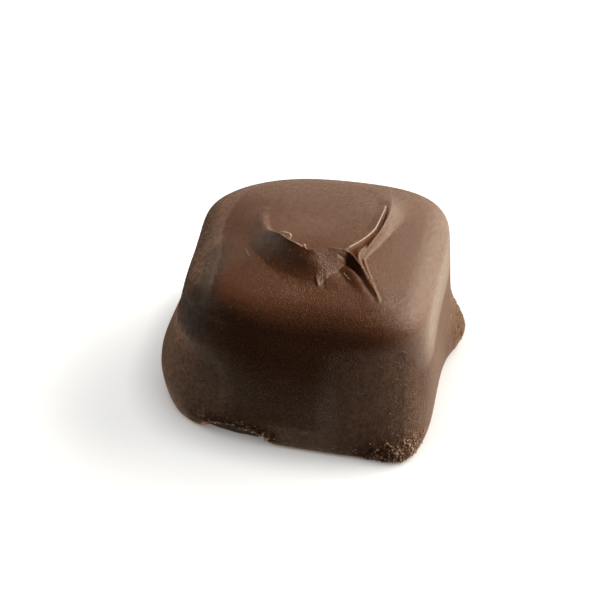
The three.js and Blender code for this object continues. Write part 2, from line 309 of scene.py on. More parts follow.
ARM = (
    (3.2, -3.02, 1.2, 1.2, 0.5), (3.69, -2.81, 1.28, 1.5, 0.5), (4.13, -2.23, 1.22, 1.8, 0.45),
    (4.75, -1.14, 1.12, 2.0, 0.38), (5.32, 0.12, 1.02, 2.1, 0.34), (5.77, 1.45, 0.92, 2.0, 0.32),
    (6.01, 3.37, 0.82, 1.8, 0.32), (6.14, 5.44, 0.64, 1.6, 0.34), (6.08, 6.78, 0.38, 1.3, 0.38),
    (5.66, 8.15, 0.03, 1.0, 0.45),
)
WEB = (  # the skin drawn between the lip, the arm and the tail
    (5.5, -0.7, 0.3, 0.3, 0.3), (5.3, -1.3, 0.62, 0.4, 0.4), (5.05, -2.0, 0.8, 0.5, 0.5),
    (4.95, -2.75, 0.84, 0.55, 0.6), (5.2, -3.45, 0.8, 0.6, 0.6), (5.6, -4.2, 0.76, 0.6, 0.6),
    (6.1, -5.1, 0.64, 0.55, 0.55), (6.6, -5.85, 0.46, 0.4, 0.4), (7.2, -6.7, 0.24, 0.3, 0.3),
    (7.85, -7.6, 0.02, 0.2, 0.2),
)
BANK = (
    (5.3, -2.42, 0.4, 0.3, 0.35), (5.48, -1.52, 0.56, 0.3, 0.45), (5.85, -0.08, 0.68, 0.34, 0.65),
    (6.35, 1.84, 0.74, 0.38, 0.9), (6.7, 4.08, 0.74, 0.7, 1.4), (6.75, 6.05, 0.62, 1.5, 2.0),
    (6.5, 7.74, 0.42, 2.3, 2.3), (6.2, 8.9, 0.2, 2.5, 2.2), (5.8, 10.0, 0.02, 2.2, 1.8),
)
TAIL = (
    (5.41, -2.84, 0.45, 0.3, 0.3), (5.73, -3.65, 0.76, 0.34, 0.32), (6.1, -4.48, 0.76, 0.36, 0.32),
    (6.63, -5.55, 0.58, 0.36, 0.3), (7.21, -6.56, 0.36, 0.32, 0.3), (7.85, -7.59, 0.03, 0.28, 0.26),
)
RIB = (  # a stub at the foot of the wave's front, added to it
    (1.3, -4.6, 0.01, 0.5, 0.6), (1.2, -5.1, 0.02, 0.5, 0.6), (1.22, -5.7, 0.02, 0.5, 0.6),
    (1.32, -6.15, 0.04, 0.3, 0.3), (1.5, -6.65, 0.16, 0.28, 0.28), (1.68, -7.0, 0.02, 0.25, 0.25),
)
LIP_FOOT = (  # the soft foot under the wave's lip, past the gap
    (3.9, -4.3, 0.1, 0.9, 0.9), (4.5, -4.75, 0.34, 0.9, 1.1), (5.1, -5.35, 0.34, 0.9, 1.2),
    (5.7, -6.05, 0.24, 0.9, 1.1), (6.3, -6.8, 0.12, 0.8, 0.9), (6.9, -7.5, 0.01, 0.6, 0.7),
)
MOUND = (  # low and broad, in front of the gap
    (2.0, -5.0, 0.1, 1.0, 1.8), (2.6, -5.3, 0.16, 1.0, 1.8), (3.1, -5.7, 0.1, 1.0, 1.6),
    (3.5, -6.2, 0.01, 0.9, 1.2),
)
HOLLOW = (  # its depth, and how far it runs to the wave and to its own rim
    (-3.9, -3.6, 0.02, 0.5, 0.6), (-2.9, -4.5, 0.08, 0.9, 1.0), (-1.6, -5.4, 0.14, 1.1, 1.3),
    (-0.5, -5.9, 0.18, 1.2, 1.4), (0.3, -6.0, 0.16, 1.1, 1.2), (0.9, -6.0, 0.03, 0.8, 0.9),
)
GAP = (  # the dark gap under the wave's lip
    (3.1, -3.6, 0.01, 0.15, 0.15), (3.4, -3.58, 0.08, 0.2, 0.2), (3.7, -3.56, 0.2, 0.22, 0.26),
    (4.1, -3.8, 0.24, 0.22, 0.3), (4.6, -4.3, 0.16, 0.2, 0.3), (5.1, -4.9, 0.04, 0.2, 0.25),
    (5.4, -5.3, 0.01, 0.18, 0.18),
)
DIMPLE = (  # the shallow dent between the rib and the mound
    (1.9, -5.4, 0.01, 0.3, 0.4), (2.0, -5.9, 0.04, 0.3, 0.4), (2.11, -6.4, 0.06, 0.3, 0.4),
    (2.22, -6.8, 0.04, 0.3, 0.4), (2.35, -7.2, 0.01, 0.25, 0.3),
)
LEAN_WAY = np.array((-0.5, -0.85))  # the crest leans to the front left
CHUNK = 4000  # points worked out at a time, to keep the tables small


def smooth_line(stations, steps=24):
    """A Catmull-Rom curve through the stations, with every value carried along."""
    rows = np.array(stations, float)
    rows = np.vstack((2 * rows[0] - rows[1], rows, 2 * rows[-1] - rows[-2]))
    t = np.linspace(0, 1, steps, endpoint=False)[:, None]
    parts = []
    for a, b, c, d in zip(rows, rows[1:], rows[2:], rows[3:]):
        bend, twist = 2 * a - 5 * b + 4 * c - d, 3 * b - a - 3 * c + d
        parts.append(0.5 * (2 * b + (c - a) * t + bend * t**2 + twist * t**3))
    return np.vstack(parts + [rows[-2:-1]])


def squared_gaps(points, line):
    """The squared distance from every point to every place on a line."""
    return (points[:, None, 0] - line[None, :, 0]) ** 2 + (points[:, None, 1] - line[None, :, 1]) ** 2


def beside(points, line, soft=0.25):
    """For each point the line's values near it, and how far it lies to the line's right."""
    step = np.gradient(line[:, :2], axis=0)
    spacing = np.linalg.norm(step, axis=1)
    step /= spacing[:, None]
    values, offs = [], []
    for part in np.array_split(points, max(1, len(points) // CHUNK)):
        gaps = np.sqrt(squared_gaps(part, line))
        found = gaps.argmin(axis=1)
        nearest = gaps.min(axis=1)
        share = np.exp((nearest[:, None] - gaps) / soft) * spacing
        values.append(share @ line / share.sum(axis=1)[:, None])
        away = part - line[found, :2]
        offs.append(np.copysign(nearest, away[:, 0] * step[found, 1] - away[:, 1] * step[found, 0]))
    return np.concatenate(values), np.concatenate(offs)


wave_steps = np.linalg.norm(np.diff(smooth_line(WAVE)[:, :2], axis=0), axis=1)
print("The wave is", round(float(wave_steps.sum()), 1), "mm long")

# %% [markdown]
# ## An even skin
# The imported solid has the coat's sags and feet, so the skin is shrink-wrapped to it everywhere but round
# the ridge, which is modelled here much finer than the solid has it, and round the chip at the front
# left, which is pressed in later. A voxel remesh gives an even skin, and where the small forms come its
# faces are cut finer.

# %% The walls held to the solid
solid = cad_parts[NODE]
VOXEL = 0.21 * MM
CHIP_DEPTH = 0.75
RIDGE_SPOTS = (  # places and radii that cover the ridge and its hollow
    (-5.5, 1.2, 1.8), (-4.9, -1.6, 1.6), (-3.6, -3.2, 2.4), (-1.6, -4.6, 3.0), (0.4, -5.2, 2.8),
    (2.6, -4.9, 2.6), (4.4, -4.6, 2.3), (6.0, -5.8, 1.6), (7.4, -7.2, 1.0), (4.6, -1.8, 2.0), (5.6, 0.6, 2.1),
    (6.2, 3.4, 2.3), (6.4, 6.2, 2.3), (6.2, 8.4, 1.5),
)
PLATEAU_SPOTS = (
    (-4.0, 0.4, 2.6), (-2.6, -1.0, 2.8), (-0.5, -1.8, 2.8), (1.8, -1.4, 2.8), (3.8, 0.6, 2.2),
    (4.6, 3.4, 2.0),
)
TOP_FROM = 12  # mm; what lies higher belongs to the top
ON_BASE = 0.05  # mm; what lies lower on the first skin is its flat base
BASE_BAND = 0.12  # mm; what lies lower on the remeshed skin is pressed flat


def over_dome(piece):
    """A piece's corners in millimetres from the walls' middle."""
    return (places(piece) - OFF_MIDDLE.to_3d()) / MM


def outside(points, spots):
    """How far each point lies outside the nearest of some round spots."""
    return np.min([np.hypot(points[:, 0] - x, points[:, 1] - y) - radius for x, y, radius in spots], axis=0)


def past(distance, passage):
    """0 up to a limit, and from there a straight rise to 1 over the passage."""
    return np.clip(distance / passage, 0, 1)


def held_to_solid(name, weights):
    """Paints a vertex group, and wraps the coat onto the solid where it says so."""
    paint(coat, name, weights)
    finish(coat, "SHRINKWRAP", target=solid, wrap_method="NEAREST_SURFACEPOINT", vertex_group=name)


def smooth(rounds, group=""):
    """Evens the coat out, all over or where a vertex group says so."""
    finish(coat, "SMOOTH", factor=0.5, iterations=rounds, vertex_group=group)


def by_chip(points):
    """1 beside the chip and under it, where the skin keeps its own shape."""
    x, y, z = points.T
    return past(x + 9.0, 0.8) * past(-1.4 - x, 0.6) * past(-11.0 - y, 0.5) * past(1.9 - z, 0.4)


rows = over_dome(coat)
gap = np.where(rows[:, 2] > TOP_FROM, outside(rows, RIDGE_SPOTS + PLATEAU_SPOTS), np.inf)
held_to_solid("walls", past(gap, 1.2) * (rows[:, 2] > ON_BASE) * (1 - by_chip(rows)))

finish(coat, "REMESH", mode="VOXEL", voxel_size=VOXEL)
smooth(8)
rows = over_dome(coat)
held_to_solid("foot", past(2.2 - rows[:, 2], 1.2) * (rows[:, 2] > BASE_BAND) * (1 - by_chip(rows)))
smooth(2)
print("The even skin has", len(coat.data.polygons), "faces")

# %% Fine faces where the small forms are
def spot_mask(points, spots, steep=1.6):
    """A soft weight round some places, given with a radius and a strength."""
    weight = np.zeros(len(points))
    for *middle, radius, strength in spots:
        far = np.linalg.norm(points - np.array(middle), axis=1) / radius
        weight = np.maximum(weight, strength * np.clip(steep * (1 - far), 0, 1))
    return weight


ROUGH_SPOTS = (  # the lump, the foot, the chipped rim and the scuffed band on the left
    (14.6, 8.1, 3.3, 2.2, 1.0), (14.9, 5.8, 2.6, 2.2, 1.0), (14.4, 4.6, 1.2, 1.6, 0.8),
    (8.4, -13.4, 1.0, 1.8, 0.8), (10.2, -13.3, 0.8, 2.0, 1.0), (12.0, -12.9, 1.2, 2.0, 1.0),
    (13.2, -11.4, 1.8, 1.8, 0.8), (-9.6, -12.2, 1.2, 1.2, 0.7), (-7.8, -12.7, 1.6, 1.2, 1.0),
    (-6.2, -13.1, 1.7, 1.2, 1.0), (-4.6, -13.3, 1.8, 1.2, 1.0), (-3.0, -13.4, 1.7, 1.2, 1.0),
    (-1.6, -13.5, 1.3, 1.2, 0.9), (-10.9, 4.6, 15.5, 1.2, 0.5), (-11.5, 1.9, 15.1, 1.4, 0.6),
    (-11.2, -0.2, 15.3, 1.4, 0.6), (-11.0, -2.0, 15.4, 1.4, 0.6), (-10.6, -4.2, 15.6, 1.4, 0.6),
    (-10.5, -6.3, 15.4, 1.3, 0.5), (-10.4, -8.0, 15.1, 1.2, 0.4),
)
# Under the wave's front the bare skin has to be quite even.
FRONT_SPOTS = ((0.9, -5.3, 17.0, 1.7, 0.8), (2.4, -5.3, 16.9, 1.7, 0.8), (3.3, -5.8, 16.6, 1.4, 0.8))
ROUGH_FROM = 0.15  # the weight from which rough skin gets finer faces
edit(coat)
pick(coat, lambda corner: corner.co.z < BASE_BAND * MM)
bpy.ops.transform.resize(value=(1, 1, 0), center_override=(0, 0, 0))
bpy.ops.mesh.select_mode(type="FACE")
bpy.ops.mesh.dissolve_faces()
for kind, cuts in (("ridge", 2), ("rough", 1)):
    leave()
    rows = over_dome(coat)
    if kind == "ridge":
        wanted = (rows[:, 2] > TOP_FROM) & (outside(rows, RIDGE_SPOTS) < 0)
    else:
        wanted = spot_mask(rows, ROUGH_SPOTS) > ROUGH_FROM
    edit(coat)
    pick(coat, lambda corner: wanted[corner.index] and corner.co.z > BASE_BAND * MM)
    bpy.ops.mesh.subdivide(number_cuts=cuts)
leave()
rows = over_dome(coat)
paint(coat, "ridge", np.where(rows[:, 2] > TOP_FROM, past(-outside(rows, RIDGE_SPOTS), 0.4), 0))
smooth(8, "ridge")
paint(coat, "wave front", spot_mask(rows, FRONT_SPOTS) * past(-3.9 - rows[:, 1], 0.8))
smooth(60, "wave front")
print("The coat has", sum(len(f.vertices) - 2 for f in coat.data.polygons), "triangles")

# %% [markdown]
# ## The ridge
# The heights over the dome are painted into vertex groups, one for what rises, one for what sinks and
# one for what leans over, and Displace moves the skin by them. The crest leans to the front, most of
# all over the gap, so its lip hangs there and keeps the gap dark. Inside the bend of the wave and the arm
# the skin swells up softly to their thin crests.


# %% The sections of the forms
LIP_SHARE = 0.12  # how much of a lipped form's height is its thin lip
LIP_HALF = 0.3  # and half the width of that lip, in millimetres


def share_of(row, off):
    """How far out a point lies, from 0 on the line to 1 where the form ends."""
    return past(np.abs(off), np.where(off > 0, row[:, 4], row[:, 3]))


def round_top(share):
    """1 at 0 and 0 at 1, level at both."""
    return 0.5 + 0.5 * np.cos(np.pi * share)


def running_out(share, toe=0.25):
    """A straight slope that runs out softly at its foot."""
    up = 1 - share
    return np.where(up > toe, up - toe / 2, up**2 / (2 * toe)) / (1 - toe / 2)


def falling(row, off, power=1.6):
    """A form that falls steeply from a sharp line and runs out softly."""
    return row[:, 2] * (1 - share_of(row, off)) ** power


def rounded(row, off):
    """A form with a broad round top."""
    return row[:, 2] * round_top(share_of(row, off))


def scooped(row, off):
    """A hollow that stays deep a little further on its right."""
    share = share_of(row, off)
    return row[:, 2] * round_top(np.where(off > 0, share**1.3, share))


def banked(row, off):
    """Round on its left, and falling on its right in one curve."""
    return np.where(off > 0, falling(row, off, 2), rounded(row, off))


def lipped(row, off):
    """Round on both sides, with a thin lip on top of its left side."""
    lip = round_top(past(np.abs(off), LIP_HALF))
    left = row[:, 2] * ((1 - LIP_SHARE) * round_top(share_of(row, off)) + LIP_SHARE * lip)
    return np.where(off > 0, rounded(row, off), left)


def breaking(row, off):
    """Falls at once behind its crest, and in front slopes down to a soft foot."""
    share = share_of(row, off)
    return row[:, 2] * np.where(off > 0, running_out(share), (1 - share) ** 1.15)


def swelling(points, line, soft=1.0):
    """A soft swell round a line, with no crease where the line bends."""
    height, width, away = (np.empty(len(points)) for _ in range(3))
    spacing = np.linalg.norm(np.gradient(line[:, :2], axis=0), axis=1)
    for part in np.array_split(np.arange(len(points)), max(1, len(points) // CHUNK)):
        near = np.exp(-np.sqrt(squared_gaps(points[part], line)) / soft) * spacing
        total = near.sum(axis=1)
        height[part] = near @ line[:, 2] / total
        width[part] = near @ line[:, 3] / total
        away[part] = -soft * np.log(total / (2 * soft))
    return height * round_top(past(away, width))


def form(stations, shape):
    """The height of a form at every point, worked out only near its line."""
    line = smooth_line(stations)
    reach = line[:, 3:5].max() + 0.1
    lowest, highest = line[:, :2].min(axis=0) - reach, line[:, :2].max(axis=0) + reach
    near = ((points > lowest) & (points < highest)).all(axis=1)
    made = np.zeros(len(points))
    made[near] = shape(*beside(points[near], line))
    return made


def blend_max(a, b, soft=0.16):
    """The higher of two heights, filled a little where they meet."""
    near = (1 - past(np.abs(a - b), soft)) * past(np.minimum(a, b), soft)
    return np.maximum(a, b) + near**2 * soft / 4


# %% Heights over the dome, and the skin moved by them
MARGIN = 4  # millimetres round the ridge within which heights are worked out
LEANS_TO = 0.35, 0.9  # how far the lean reaches: a share of the front, and millimetres behind the crest
near_ridge = outside(rows, RIDGE_SPOTS + PLATEAU_SPOTS) < MARGIN
top = np.nonzero((rows[:, 2] > TOP_FROM) & near_ridge)[0]
points = rows[top, :2]
bare = rows[top]
bend = smooth_line(PLATEAU)
plateau = np.where(beside(points, bend)[1] < 0, swelling(points, bend), 0)
line = smooth_line(WAVE)
line[:, :2] -= line[:, 5:6] * LEAN_WAY  # the crest starts that far back, and the lean brings it to its line
row, off = beside(points, line)
in_front, behind = 1 - off / (LEANS_TO[0] * row[:, 4]), 1 + off / LEANS_TO[1]
lean = row[:, 5] * np.clip(np.where(off > 0, in_front, behind), 0, 1) ** 1.3
height = blend_max(plateau, breaking(row, off))
for stations, shape in ((FOLD, rounded), (ARM, lipped), (WEB, rounded), (BANK, banked), (TAIL, falling),
                        (LIP_FOOT, rounded), (MOUND, rounded)):
    height = blend_max(height, form(stations, shape))
height += form(RIB, rounded)
for stations, shape in ((HOLLOW, scooped), (GAP, rounded), (DIMPLE, rounded)):
    height -= form(stations, shape)


def moved(name, weights, *moves):
    """Paints a vertex group, and moves the coat by it along some axes, in millimetres."""
    paint(coat, name, weights)
    for axis, far in moves:
        finish(coat, "DISPLACE", direction=axis, strength=far * MM, mid_level=0, vertex_group=name)


HIGHEST, DEEPEST, FURTHEST = 2.0, 1.4, 0.5
for name, values, *moves in (
    ("leaning", lean / FURTHEST, ("X", LEAN_WAY[0] * FURTHEST), ("Y", LEAN_WAY[1] * FURTHEST)),
    ("raised", height / HIGHEST, ("Z", HIGHEST)),
    ("sunk", -height / DEEPEST, ("Z", -DEEPEST)),
):
    weights = np.zeros(len(rows))
    weights[top] = values
    moved(name, weights, *moves)
smooth(2, "ridge")
print("The ridge stands", round(float(height.max()), 2), "mm over the dome")

# %% [markdown]
# ## Rough places
# At the front left the coat is chipped away under a thin rim. The chip is pressed in first: each place is
# moved to or from the front until the wall there is as deep as it should be. The lump on the right, the
# foot, the chipped rim and a scuffed band on the left are crusty, with grains of a few tenths of a
# millimetre. Those that change the outline are real: Displace with a cloud texture moves the skin there.
# Finer grain comes from the material.

# %% The chip pressed in
CHIP_RIM = (  # from left to right, and how high the rim over the chip stands
    (-9.0, 0.5), (-8.2, 1.2), (-6.5, 1.65), (-4.6, 1.8), (-3.0, 1.55), (-2.2, 1.2), (-1.6, 0.4),
)
WALL_AT, WALL_BAND = 2.3, 0.3  # the height at which the wall over the chip is measured, and how near to it
WALL_STEP, WALL_REACH = 0.5, 0.4  # how far apart, and how far to each side a measure looks

rows = over_dome(coat)
across_front = rows[:, 0]
near_foot = rows[(rows[:, 1] < -9) & (np.abs(rows[:, 2] - WALL_AT) < WALL_BAND)]
stops = np.arange(-10.0, 0.5, WALL_STEP)
wall_there = [near_foot[np.abs(near_foot[:, 0] - at) < WALL_REACH, 1].min() for at in stops]
rim_height = np.interp(across_front, *zip(*CHIP_RIM))
cut = past(rim_height - rows[:, 2], 0.16) * past(across_front + 8.8, 0.7) * past(-1.7 - across_front, 0.5)
wall = np.interp(across_front, stops, wall_there)
inwards = (wall + CHIP_DEPTH * cut - rows[:, 1]) * by_chip(rows)
moved("pressed in", inwards, ("Y", 1))
moved("pulled out", -inwards, ("Y", -1))
print("The skin moves in by up to", round(float(inwards.max()), 2), "mm")

# %% Crusty skin
BASE_CORNERS = 60  # only the flat base has more corners than this
paint(coat, "rough", spot_mask(over_dome(coat), ROUGH_SPOTS))
for size, strength in ((0.55, 0.26), (0.2, 0.16)):
    clouds = bpy.data.textures.new("crust", "CLOUDS")
    clouds.noise_scale = size * MM
    clouds.noise_depth = 1
    finish(coat, "DISPLACE", texture=clouds, strength=strength * MM, vertex_group="rough")
alone(coat)
bpy.ops.object.shade_smooth()
edit(coat)
pick(coat, lambda face: len(face.verts) > BASE_CORNERS, "FACE")
bpy.ops.mesh.region_to_loop()
bpy.ops.mesh.mark_sharp()
leave()
print("The skin spans", [round(float(v), 2) for v in np.ptp(over_dome(coat), axis=0)], "mm")

# %% [markdown]
# ## Floor and light
# The sweet was taken on a white sweep with soft light from behind and from both sides, and almost none
# from the front, which is why its front face is nearly black. The floor is white to the camera and takes
# the soft shadow, but it throws no light back on the chocolate. Floor, light and finishes are all built
# from nodes, so a few helpers come first.

# %% Helpers for nodes
def socket(tree, value, entry):
    """Links a socket or sets a plain value."""
    if isinstance(value, bpy.types.NodeSocket):
        tree.links.new(value, entry)
    else:
        entry.default_value = value


def add_node(tree, kind, label, given=(), **settings):
    """A node with a label, these settings, and what its inputs are given."""
    made = tree.nodes.new(kind)
    made.label = made.name = label
    for key, value in settings.items():
        setattr(made, key, value)
    for key, value in dict(given).items():
        socket(tree, value, made.inputs[key])
    return made


def calculate(tree, label, operation, *values):
    """A math node, and its result."""
    return add_node(tree, "ShaderNodeMath", label, enumerate(values), operation=operation).outputs[0]


def spread(tree, label, value, low, high, to_low=0.0, to_high=1.0):
    """Maps a value's range onto another, softly."""
    given = enumerate((value, low, high, to_low, to_high))
    return add_node(tree, "ShaderNodeMapRange", label, given, interpolation_type="SMOOTHSTEP").outputs["Result"]


def tint(tree, label, share, first, second):
    """A blend from the first colour to the second."""
    return add_node(tree, "ShaderNodeMix", label, {0: share, 6: first, 7: second}, data_type="RGBA").outputs[2]


# %% The floor
bpy.ops.mesh.primitive_plane_add(size=4)
floor = named("floor")
floor.visible_diffuse = False
floor.visible_glossy = False
paper = bpy.data.materials.new("white paper")
paper.use_nodes = True
tree = paper.node_tree
tree.nodes.clear()
matt = add_node(tree, "ShaderNodeBsdfDiffuse", "matt paper", {"Color": (0.62, 0.63, 0.70, 1)})
# The glow is dimmed by ambient occlusion near the sweet: painted contact shade on the floor.
corner = add_node(tree, "ShaderNodeAmbientOcclusion", "dark in the corner", {"Distance": 4.5 * MM}, samples=8)
dimmed = calculate(tree, "dimmed", "MULTIPLY", corner.outputs["AO"], 0.74)
glow = add_node(tree, "ShaderNodeEmission", "white glow", {"Color": (1.0, 1.0, 0.99, 1), "Strength": dimmed})
both = add_node(tree, "ShaderNodeAddShader", "paper and glow", {0: matt.outputs[0], 1: glow.outputs[0]})
add_node(tree, "ShaderNodeOutputMaterial", "out", {"Surface": both.outputs[0]})
floor.data.materials.append(paper)

# %% The studio round it
def between(tree, label, angle, start, end, passage):
    """1 between two angles in degrees and 0 outside them, with a soft passage at both."""
    return calculate(tree, label, "MULTIPLY", *(
        spread(tree, label + side, angle, math.radians(at - half), math.radians(at + half))
        for side, at, half in ((" from", start, passage / 2), (" to", end, -passage / 2))
    ))


world = bpy.data.worlds.new("studio")
bpy.context.scene.world = world
world.use_nodes = True
tree = world.node_tree
where = add_node(tree, "ShaderNodeTexCoord", "direction").outputs["Generated"]
split = add_node(tree, "ShaderNodeSeparateXYZ", "right, back and up", {0: where}).outputs
turned = calculate(tree, "angle right of straight back", "ARCTAN2", split["X"], split["Y"])
raised = calculate(tree, "angle up", "ARCSINE", split["Z"])

AMBIENT = 0.048
LIGHTS = (  # degrees from left to right and the passage there, the same from bottom to top, and how bright
    ("window behind right", (26, 84, 26), (21, 47, 16), 12.0),
    ("bright wall left", (-95, -56, 24), (-4, 8, 11), 6.0),
    ("bright wall right", (12, 116, 24), (-45, 8, 14), 2.0),
    ("pale wall behind", (-33, 24, 25), (-15, 25, 13), 1.0),
    ("white table", (-106, 136, 63), (-100, -50, 20), 2.8),
)
light_sum = AMBIENT
for name, sideways, upwards_too, bright in LIGHTS:
    wide = between(tree, name + " width", turned, *sideways)
    tall = between(tree, name + " height", raised, *upwards_too)
    light = calculate(tree, name + " light", "MULTIPLY", calculate(tree, name, "MULTIPLY", wide, tall), bright)
    light_sum = calculate(tree, "with " + name, "ADD", light, light_sum)
warm = add_node(tree, "ShaderNodeVectorMath", "a little warm", {0: (1.03, 0.965, 0.785), "Scale": light_sum},
                operation="SCALE")
socket(tree, warm.outputs["Vector"], tree.nodes["Background"].inputs["Color"])
bpy.context.scene.view_settings.view_transform = "Standard"
print("The studio has", len(LIGHTS), "lights")

# %% [markdown]
# ## The chocolate
# The top is smooth dipped chocolate with a soft shine. Where the coat was handled or touched the tray it
# is dull and dusted with cocoa: the lower walls, the right wall and the scuffed band on the left. A pink
# bloom lies on the left wall, and on the bulge there it also serves as a painted highlight. Rusty crystals
# lie on the lump and the foot. Painted shade darkens the step above the scuffed band, the front left
# corner of the top, the chip's recess and the top of the right wall near the front. Those zones are
# painted on the skin as attributes, from the places where they lie, and the material breaks them up with
# noise. The grain itself is one node group that every finish on the sweet shares.


# %% Painting the zones
FULL_WITHIN = 0.4  # the share of its radius within which a line has its full weight


def ramp(values, start, end):
    """0 before the start and 1 past the end, with a soft passage."""
    t = np.clip((values - start) / (end - start), 0, 1)
    return t * t * (3 - 2 * t)


def near_line(points, line, radius):
    """1 on a line in space, falling to 0 at a distance from it."""
    line = np.array(line, float)
    best = np.full(len(points), np.inf)
    for start, end in zip(line, line[1:]):
        along = np.clip((points - start) @ (end - start) / ((end - start) @ (end - start)), 0, 1)
        best = np.minimum(best, np.linalg.norm(points - start - along[:, None] * (end - start), axis=1))
    return ramp(best, radius, radius * FULL_WITHIN)


skin_rows = over_dome(coat)
x, y, z = skin_rows.T
SCUFF = ((-10.7, 5.6, 15.4), (-11.3, 2.9, 15.2), (-11.5, 1.0, 15.1), (-11.1, -1.4, 15.4), (-10.7, -4.2, 15.6),
         (-10.6, -6.3, 15.5), (-10.5, -8.2, 15.1))
SCUFF_EDGE = ((-9.5, -3.0, 16.0), (-9.3, -5.3, 16.0), (-9.2, -8.4, 15.6), (-9.8, -10.0, 14.0))
SEAM = ((10.9, -10.9, 12.4), (11.2, -11.5, 9.7), (11.4, -11.8, 7.6), (11.5, -11.9, 4.9), (11.4, -12.5, 2.5))
RIM = ((-9.6, -12.2, 1.5), (-7.8, -12.7, 1.9), (-6.2, -13.1, 2.0), (-4.6, -13.3, 2.1), (-3.0, -13.4, 2.0),
       (-1.7, -13.5, 1.3))
front_wall = ramp(y, -9.0, -11.0)
scuffed = near_line(skin_rows, SCUFF, 2.3)
seam = near_line(skin_rows, SEAM, 0.6)
rim = near_line(skin_rows, RIM, 0.7)
rough = spot_mask(skin_rows, ROUGH_SPOTS)
dust = np.max([
    0.58 * front_wall * ramp(x, 1.6, 6.6) * ramp(z, 14.0, 11.2),
    0.85 * ramp(x, -5.5, -8.5) * ramp(z, 11.0, 6.5),
    ramp(x, -8.5, -11.5) * ramp(z, 10.5, 7.5),
    0.42 * front_wall * ramp(z, 3.6, 2.0),
    0.34 * ramp(x, 11.2, 12.4) * ramp(z, 13.0, 9.5),
    0.62 * scuffed,
    0.7 * rough,
    0.9 * rim,
], axis=0)
in_chip = ramp(z, 1.5, 1.15) * ramp(x, -8.6, -7.6) * ramp(x, -2.2, -2.9) * ramp(y, -11.5, -12.0)
right_wall = ramp(x, 11.4, 12.6) * ramp(z, 11.5, 9.0)
coarse = np.max([0.7 * scuffed, seam, rough, 0.75 * dust, in_chip, 0.6 * right_wall], axis=0)
rust = np.max([
    spot_mask(skin_rows, ((14.8, 7.0, 3.0, 4.5, 1.0),)),
    0.6 * front_wall * ramp(z, 4.2, 2.4) * ramp(x, 6.0, 3.0),
    0.25 * ramp(x, -5.0, -8.0) * ramp(z, 11.0, 8.0),
], axis=0)
# Painted shade: darkens the step above the scuffed band, the top of the right wall near the front, the chip's
# recess and the front left corner of the top.
dark = np.max([
    0.65 * near_line(skin_rows, SCUFF_EDGE, 1.7),
    0.4 * spot_mask(skin_rows, ((13.0, -10.0, 11.8, 3.2, 1.0),)),
    0.6 * in_chip,
    0.85 * spot_mask(skin_rows, ((-10.2, -9.8, 12.6, 3.0, 1.0),)),
], axis=0)
# Pink bloom on the left wall and the scuffed band. On the bulge, the first entry, it is also a painted
# highlight that keeps the wall bright.
bloom_and_highlight = np.max([
    ramp(x, -8.0, -12.0) * ramp(z, 11.0, 8.5),
    0.6 * ramp(x, -4.5, -9.0) * ramp(z, 8.0, 5.0),
    0.5 * scuffed,
], axis=0)
for name, values in dict(dust=dust, coarse=coarse, rust=rust, bloom_and_highlight=bloom_and_highlight, dark=dark).items():
    zone = coat.data.attributes.new(name, "FLOAT", "POINT")
    zone.data.foreach_set("value", np.clip(values, 0, 1).astype(np.float32))
print("Dust lies on", round(100 * float((dust > 0.3).mean())), "percent of the skin's corners")

# %% [markdown]
# The grain group reads a place on the piece and gives three patterns: a fine grain, a cloudy mottle, and
# rare specks. It puts out plain values, so each material decides what they mean for it.

# %% The cocoa grain
grain_group = bpy.data.node_groups.new("cocoa grain", "ShaderNodeTree")
for name, way, kind in (
    ("Place", "INPUT", "Vector"), ("Fineness", "INPUT", "Float"), ("Grain", "OUTPUT", "Float"),
    ("Mottle", "OUTPUT", "Float"), ("Specks", "OUTPUT", "Float"),
):
    grain_group.interface.new_socket(name, in_out=way, socket_type="NodeSocket" + kind)
tree = grain_group
given = add_node(tree, "NodeGroupInput", "given").outputs


def pattern(kind, label, ratio, **entries):
    """A texture of the group, whose scale is a ratio of the given fineness."""
    scale = calculate(tree, label + " scale", "MULTIPLY", given["Fineness"], ratio)
    return add_node(tree, kind, label, {"Vector": given["Place"], "Scale": scale, **entries}).outputs


fine = pattern("ShaderNodeTexNoise", "fine grain", 1.0, Detail=3, Roughness=0.65)
clouds = pattern("ShaderNodeTexNoise", "clouds", 0.28, Detail=4)
cells = pattern("ShaderNodeTexVoronoi", "one cell for each speck", 0.18)
chance = add_node(tree, "ShaderNodeSeparateColor", "a chance for each cell", {0: cells["Color"]}).outputs[0]
rare = calculate(tree, "only some cells", "GREATER_THAN", chance, 0.8)
small = spread(tree, "speck size", cells["Distance"], 0.16, 0.07)
result = add_node(tree, "NodeGroupOutput", "result", {
    "Grain": spread(tree, "grain spread", fine["Fac"], 0.3, 0.7),
    "Mottle": spread(tree, "mottle spread", clouds["Fac"], 0.3, 0.7),
    "Specks": calculate(tree, "specks", "MULTIPLY", small, rare),
})
print("The grain group gives", [entry.name for entry in result.inputs if entry.name])


# %% Helpers for finishes
def grained(name, fineness):
    """A new material, its tree, its shader, the place on the piece and the grain group's patterns."""
    made = bpy.data.materials.new(name)
    made.use_nodes = True
    tree = made.node_tree
    skin = tree.nodes["Principled BSDF"]
    skin.inputs["IOR"].default_value = 1.5
    place = add_node(tree, "ShaderNodeTexCoord", "place on the piece").outputs["Object"]
    group = add_node(tree, "ShaderNodeGroup", "cocoa grain", {"Fineness": fineness, "Place": place},
                     node_tree=grain_group)
    return made, tree, skin, place, group.outputs


def broken(tree, label, share, noise, low, high, least, most):
    """A share broken up by noise, which lets through from the least to the most of it."""
    let_through = spread(tree, label + " share", noise, low, high, least, most)
    return calculate(tree, label, "MULTIPLY", share, let_through)


